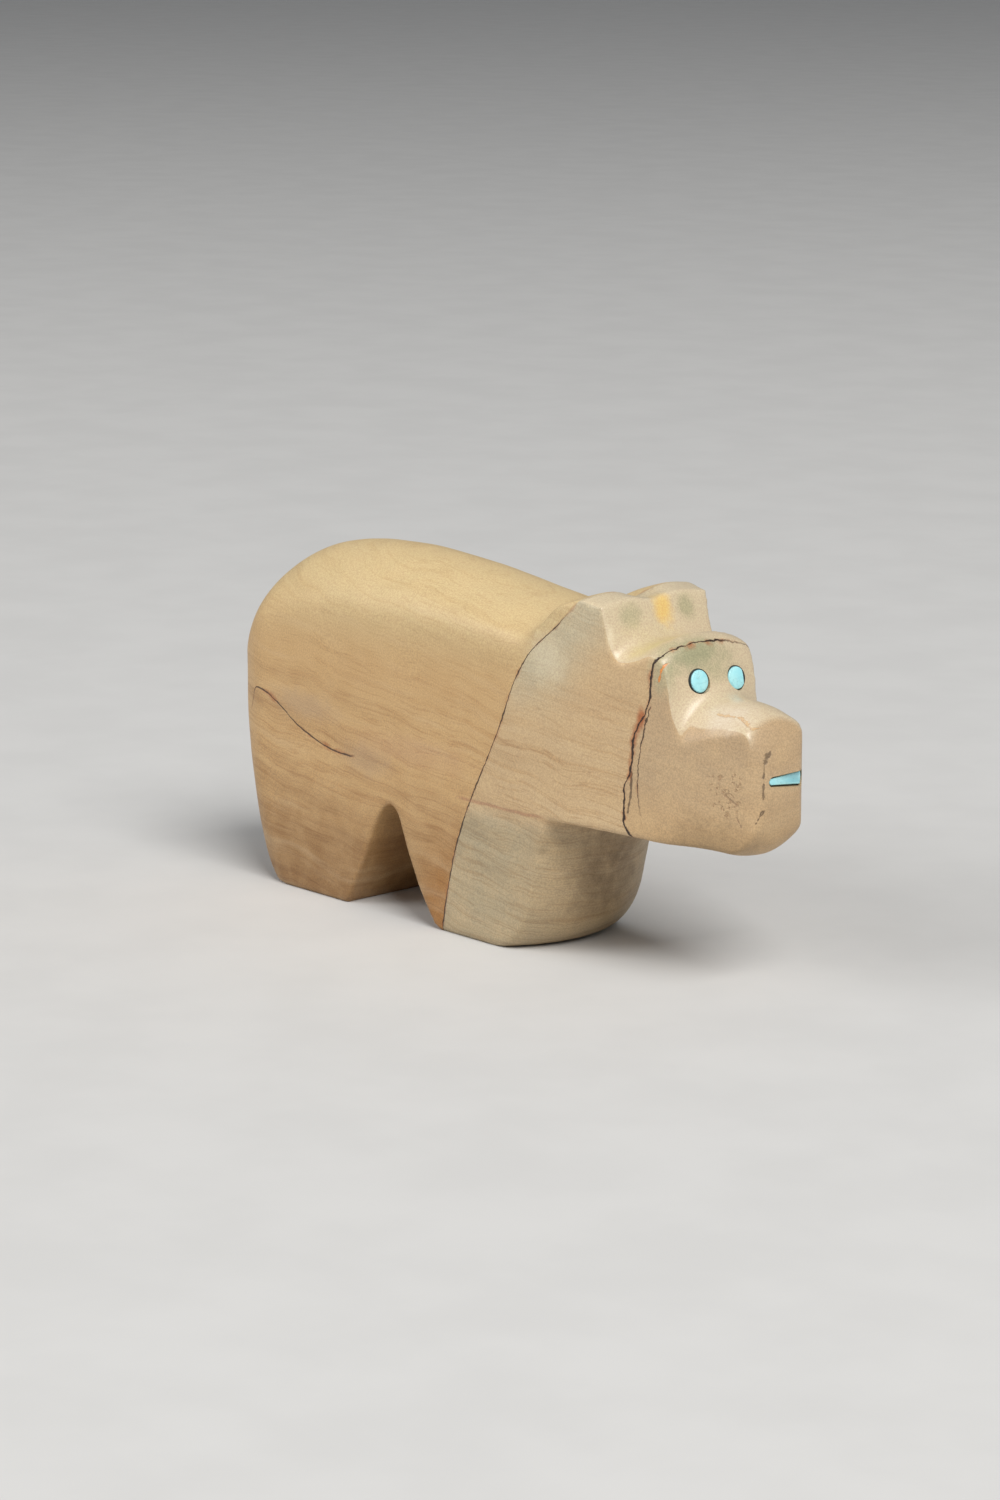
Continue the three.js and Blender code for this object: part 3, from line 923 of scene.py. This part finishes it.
    # Cream on the polished scoops, kept to faces that look up or forward.
    up_or_forward = w.fade(w.math("ABSOLUTE", ny), 0.80, 0.76)
    on_head = w.times(w.fade(x, 20.5, 22.5), w.fade(z, 30.0, 32.0))
    forward_of_back = w.fade(w.math("ADD", nx, w.times(w.fade(x, 24.0, 26.0), 0.6)), -0.05, 0.15)
    cream_mask = w.times(w.times(up_or_forward, on_head), forward_of_back)
    nose_lean = w.times(w.math("SUBTRACT", z, 33.0), 0.35)
    behind_nose = w.fade(w.math("ADD", x, nose_lean), 45.1, 44.6)
    cream_mask = w.times(cream_mask, behind_nose)
    colour = w.mix(w.times(cream_mask, 0.85), colour, colours.cream)
    colour = add_patches(w, point, colour, [
        ((34.2, -2.6, 39.6), (4.0, 7.5, 3.0), 0.95, (0.34, 0.335, 0.21)),
        ((33.7, -7.0, 37.6), (2.6, 2.0, 3.4), 0.60, colours.green),
        ((35.6, 0.5, 37.4), (2.5, 6.5, 1.8), 0.45, colours.green),
        ((25.5, 4.6, 43.2), (2.2, 2.2, 2.4), 0.80, colours.green),
        ((25.6, -4.6, 43.4), (2.0, 2.6, 2.2), 0.65, colours.green),
        ((29.5, 3.0, 39.0), (4.0, 4.0, 1.6), 0.35, colours.green),
        ((41.0, -3.0, 33.0), (4.6, 5.0, 2.6), 0.75, (0.70, 0.60, 0.48)),
        ((29.6, -4.5, 39.6), (2.6, 5.0, 2.2), 0.60, (0.62, 0.52, 0.25)),
        # painted highlight: a pale band where the ears' front faces turn down into the brow
        ((28.3, -1.0, 41.6), (0.9, 8.0, 0.8), 0.55, (0.84, 0.77, 0.60)),
        ((30.2, -1.5, 40.2), (1.8, 5.5, 1.2), 0.45, (0.55, 0.50, 0.22)),
        ((29.5, -3.0, 41.5), (4.5, 9.0, 4.5), 0.35, (0.56, 0.46, 0.22)),
        # painted highlight along the right ear's front edge
        ((26.0, -8.1, 42.0), (0.6, 0.8, 3.6), 0.40, (0.84, 0.74, 0.54)),
        ((25.3, 0.9, 43.3), (2.6, 2.2, 3.0), 0.90, colours.amber),
        ((31.0, -8.2, 32.1), (0.9, 2.0, 1.8), 0.95, colours.rust),
        ((29.4, -8.3, 25.8), (0.5, 1.2, 2.4), 0.60, colours.rust),
    ])

    # Veins that run right through the stone: line, stain and the strength of both.
    vein = group_once("Vein", build_vein)
    veins = []
    shoulder_vein = w.group(
        vein, Offset=shoulder_offset, Point=point, Width=0.12, Stain_Width=0.6, Wander=0.35
    ).outputs
    vein_reach = w.fade(x, 20.5, 17.5)
    veins.append((w.times(shoulder_vein["Line"], vein_reach), shoulder_vein["Stain"], 0.9, 0.45))

    head_width = w.between(w.fade(nz, 0.3, 0.8), 0.19, 0.11)
    head_vein = w.group(
        vein, Offset=head_offset, Point=point, Width=head_width, Stain_Width=0.75, Wander=0.7
    ).outputs
    far_top = w.times(w.fade(nz, 0.3, 0.6), w.fade(y, 1.5, 4.0))
    head_line = w.times(head_vein["Line"], w.between(far_top, 1.0, 0.5))
    veins.append((head_line, head_vein["Stain"], 1.0, 0.9))

    branch_middle = w.curve(z, BRANCH_VEIN, *HEAD_VEIN_SPAN)
    branch_offset = w.math("SUBTRACT", w.math("SUBTRACT", x, branch_middle), skew)
    shifted = w.vector("ADD", point, (5.0, 0.0, 2.0))
    branch = w.group(
        vein, Offset=branch_offset, Point=shifted, Width=0.10, Stain_Width=0.4, Wander=0.7
    ).outputs
    branch_reach = w.times(w.fade(z, 18.0, 25.0), w.fade(z, 34.2, 33.4))
    veins.append((*[w.times(branch[mark], branch_reach) for mark in ("Line", "Stain")], 0.85, 0.4))

    hook_offset = w.math("SUBTRACT", z, w.curve(x, HOOK_VEIN, *HOOK_VEIN_SPAN))
    hook = w.group(vein, Offset=hook_offset, Point=point, Width=0.12, Stain_Width=0.7, Wander=0.3).outputs
    hook_length = w.times(w.fade(x, -40.8, -40.2), w.fade(x, -18.6, -20.0))
    hook_reach = w.times(w.fade(y, -4.0, -6.0), hook_length)
    veins.append((*[w.times(hook[mark], hook_reach) for mark in ("Line", "Stain")], 0.85, 0.8))

    # Short hairlines on the head: stops in X and Z, reach in Y, width, strength and colour.
    right, middle = (-12.0, -2.0), (0.5, 2.0)
    orange, scuff = (0.60, 0.33, 0.12), (0.25, 0.15, 0.09)
    hairlines = [
        ([(39.5, 33.5), (43.0, 33.5), (45.0, 32.5)], right, 0.05, 0.5, orange),
        ([(46.5, 30.5), (46.5, 24.0)], right, 0.05, 0.6, colours.vein),
        ([(46.5, 23.0), (46.0, 21.5)], right, 0.05, 0.65, colours.vein),
        ([(46.0, 19.0), (45.5, 18.0)], middle, 0.12, 0.8, colours.vein),
        ([(34.0, 39.0), (33.5, 37.0)], right, 0.07, 0.9, (0.70, 0.24, 0.05)),
        ([(29.5, 25.5), (29.5, 23.0), (29.0, 20.5)], right, 0.10, 0.7, colours.vein),
        ([(42.5, 24.5), (44.0, 23.5)], right, 0.10, 0.5, scuff),
        ([(44.0, 22.0), (44.5, 21.0)], right, 0.09, 0.5, scuff),
    ]
    profile = w.vector("MULTIPLY", point, (1.0, 0.0, 1.0))
    shake = w.times(w.math("SUBTRACT", w.noise(point, 1.4, 3.0), 0.5), 0.5)
    marks = []
    for stops, (first_y, last_y), width, strength, tint in hairlines:
        line = line_distance(w, profile, [(x_stop, 0.0, z_stop) for x_stop, z_stop in stops])
        distance = w.math("ABSOLUTE", w.math("ADD", line, shake))
        reach = w.times(w.fade(y, first_y - 0.2, first_y), w.fade(y, last_y + 0.2, last_y))
        mark = w.times(w.fade(distance, 2.2 * width, 0.6 * width), reach)
        marks.append(mark)
        colour = w.mix(w.times(mark, strength), colour, tint)

    relief = None
    for line, stain, line_strength, stain_strength in veins:
        colour = w.mix(w.times(stain, stain_strength), colour, colours.rust)
        colour = w.mix(w.times(line, line_strength), colour, colours.vein)
        relief = line if relief is None else w.math("MAXIMUM", relief, line)
    for mark in marks:
        relief = w.math("MAXIMUM", relief, mark)

    # Small pits on the cheek.
    spot = group_once("Soft patch", build_spot)
    cheek = w.group(
        spot, Point=point, Middle=(42.6, -5.3, 24.6), Size=(3.6, 2.0, 4.2), Ragged=0.5, Softness=0.7
    )
    pits = w.times(w.fade(w.noise(point, 1.6, 3.0, 0.6), 0.54, 0.64), cheek.outputs["Mask"])
    colour = w.mix(w.times(pits, 0.60), colour, (0.27, 0.15, 0.075))
    relief = w.math("MAXIMUM", relief, pits)

    # The crease above the front leg: a thin pink-brown line of painted shade.
    wobble = w.times(w.math("SUBTRACT", grain["Clouds"], 0.5), 0.8)
    from_crease = w.math("ADD", w.math("SUBTRACT", z, CREASE_Z), wobble)
    crease_painted_shade = w.fade(w.math("ABSOLUTE", from_crease), 0.35, 0.05)
    crease_painted_shade = w.times(crease_painted_shade, w.times(w.fade(x, 0.0, 2.0), w.fade(x, 17.0, 14.0)))
    colour = w.mix(w.times(crease_painted_shade, 0.55), colour, (0.36, 0.17, 0.10))

    speckle = w.fade(grain["Speckle"], 0.30, 0.70)
    colour = w.mix(0.20, colour, w.mix(speckle, (0.20, 0.15, 0.10), (1.0, 0.92, 0.78)), "OVERLAY")
    w.feed(shader.inputs["Base Color"], colour)

    gloss = w.times(cream_mask, 0.12)
    matte = w.between(grain["Height"], 0.40, 0.54)
    w.feed(shader.inputs["Roughness"], w.math("SUBTRACT", matte, gloss))
    w.feed(shader.inputs["Coat Weight"], w.times(cream_mask, 0.12))
    shader.inputs["Coat Roughness"].default_value = 0.22

    height = w.math("ADD", w.times(grain["Height"], 0.12), w.times(beds["Thin"], 0.10))
    height = w.math("SUBTRACT", height, relief)
    add_bump(w, shader, height, 0.06)
    return material


def turquoise_material(colours):
    made = bpy.data.materials.get("Turquoise")
    if made:
        return made
    material, w, shader, point = start_material("Turquoise")
    grain = w.group(group_once("Fine grain", build_grain), Point=point, Size=0.5).outputs
    clouds = w.fade(grain["Clouds"], 0.35, 0.65)
    colour = w.mix(clouds, colours.turquoise, colours.turquoise_pale)
    offset = w.math("SUBTRACT", w.noise(point, 0.9, 4.0, 0.6), 0.53)
    web = w.fade(w.math("ABSOLUTE", offset), 0.012, 0.002)
    colour = w.mix(w.times(web, 0.35), colour, (0.16, 0.36, 0.38))
    w.feed(shader.inputs["Base Color"], colour)
    w.feed(shader.inputs["Roughness"], w.between(grain["Height"], 0.24, 0.38))
    add_bump(w, shader, w.math("SUBTRACT", w.times(grain["Height"], 0.3), web), 0.01)
    return material


def cement_material(colours):
    made = bpy.data.materials.get("Dark cement")
    if made:
        return made
    material, w, shader, point = start_material("Dark cement")
    grain = w.group(group_once("Fine grain", build_grain), Point=point, Size=0.4).outputs
    colour = w.mix(w.fade(grain["Speckle"], 0.4, 0.7), colours.cement, (0.05, 0.07, 0.07))
    w.feed(shader.inputs["Base Color"], colour)
    w.feed(shader.inputs["Roughness"], w.between(grain["Height"], 0.62, 0.85))
    add_bump(w, shader, grain["Height"], 0.03)
    return material


# ---- floor, lights and camera ----
CAMERA_TURN = math.radians(48.0)  # from square to the right flank round towards the face
CAMERA_RISE = math.radians(12.65)
CAMERA_DISTANCE = 521.0
CAMERA_AIM = Vector((-MIDDLE_X, 0.0, 21.64)) * MM
SENSOR_WIDTH = 36.0


def floor_material(colour):
    material, w, shader, point = start_material("Pale floor")
    grain = w.group(group_once("Fine grain", build_grain), Point=point, Size=6.0).outputs
    darker = tuple(0.96 * c for c in colour)
    w.feed(shader.inputs["Base Color"], w.mix(w.fade(grain["Clouds"], 0.3, 0.7), colour, darker))
    shader.inputs["Roughness"].default_value = 0.85
    shader.inputs["Specular IOR Level"].default_value = 0.2
    return material


def aim(thing, target):
    thing.rotation_mode = "QUATERNION"
    thing.rotation_quaternion = (target - thing.location).to_track_quat("-Z", "Y")


def add_softbox(name, location, size, power, tint):
    light = bpy.data.lights.new(name, "AREA")
    light.shape = "RECTANGLE"
    light.size, light.size_y = size
    light.energy = power
    light.color = tint
    lamp = bpy.data.objects.new(name, light)
    bpy.context.scene.collection.objects.link(lamp)
    lamp.location = location
    aim(lamp, Vector((0.0, 0.0, 0.02)))


class BEAR_OT_stage(bpy.types.Operator):
    """Lay the pale floor, hang the lights and set up the camera"""

    bl_idname = "bear.stage"
    bl_label = "Stage"

    def execute(self, context):
        scene = context.scene
        settings = scene.stage_settings
        bm = bmesh.new()
        bmesh.ops.create_circle(bm, cap_ends=True, segments=96, radius=settings.floor_radius)
        floor = new_piece("floor", finish_mesh("floor", bm))
        floor.data.materials.append(floor_material(tuple(settings.floor)))

        world = bpy.data.worlds.new("Studio")
        world.use_nodes = True
        background = world.node_tree.nodes["Background"]
        background.inputs["Color"].default_value = (0.95, 0.97, 1.0, 1.0)
        background.inputs["Strength"].default_value = 0.22
        scene.world = world
        add_softbox("key", (1.30, -0.42, 1.58), (1.10, 1.10), settings.key_power, (1.0, 0.98, 0.95))
        add_softbox("fill", (-0.88, -1.50, 1.05), (1.20, 1.20), settings.fill_power, (1.0, 0.99, 0.97))

        camera = bpy.data.objects.new("camera", bpy.data.cameras.new("camera"))
        scene.collection.objects.link(camera)
        camera.data.lens = settings.lens
        camera.data.sensor_width = SENSOR_WIDTH
        camera.data.clip_start = 0.01
        camera.data.clip_end = 50.0
        turn = Matrix.Rotation(CAMERA_TURN, 3, "Z") @ Matrix.Rotation(-CAMERA_RISE, 3, "X")
        camera.location = CAMERA_AIM + turn @ Vector((0.0, -CAMERA_DISTANCE * MM, 0.0))
        aim(camera, CAMERA_AIM)
        scene.camera = camera
        scene.view_settings.view_transform = "Standard"
        return {"FINISHED"}


OPERATORS = (BEAR_OT_body, BEAR_OT_eyes, BEAR_OT_mouth, BEAR_OT_stage)
SETTINGS = {
    "bear_shape": BearShape,
    "stone_colours": StoneColours,
    "inlay_colours": InlayColours,
    "stage_settings": StageSettings,
}


class BEAR_PT_panel(bpy.types.Panel):
    """Lists the bear's operators and settings"""

    bl_label = "Carved Stone Bear"
    bl_idname = "BEAR_PT_panel"
    bl_space_type = "VIEW_3D"
    bl_region_type = "UI"
    bl_category = "Bear"

    def draw(self, context):
        column = self.layout.column()
        for operator in OPERATORS:
            column.operator(operator.bl_idname)
        for name, group in SETTINGS.items():
            box = column.box()
            for setting in group.__annotations__:
                box.prop(getattr(context.scene, name), setting)


def register():
    for cls in (*SETTINGS.values(), *OPERATORS, BEAR_PT_panel):
        bpy.utils.register_class(cls)
    for name, group in SETTINGS.items():
        setattr(bpy.types.Scene, name, bpy.props.PointerProperty(type=group))


def unregister():
    for name in SETTINGS:
        delattr(bpy.types.Scene, name)
    for cls in (BEAR_PT_panel, *reversed(OPERATORS), *reversed(SETTINGS.values())):
        bpy.utils.unregister_class(cls)


def main():
    register()
    bpy.ops.bear.body()
    bpy.ops.bear.eyes()
    bpy.ops.bear.mouth()
    bpy.ops.bear.stage()


if __name__ == "__main__":
    main()
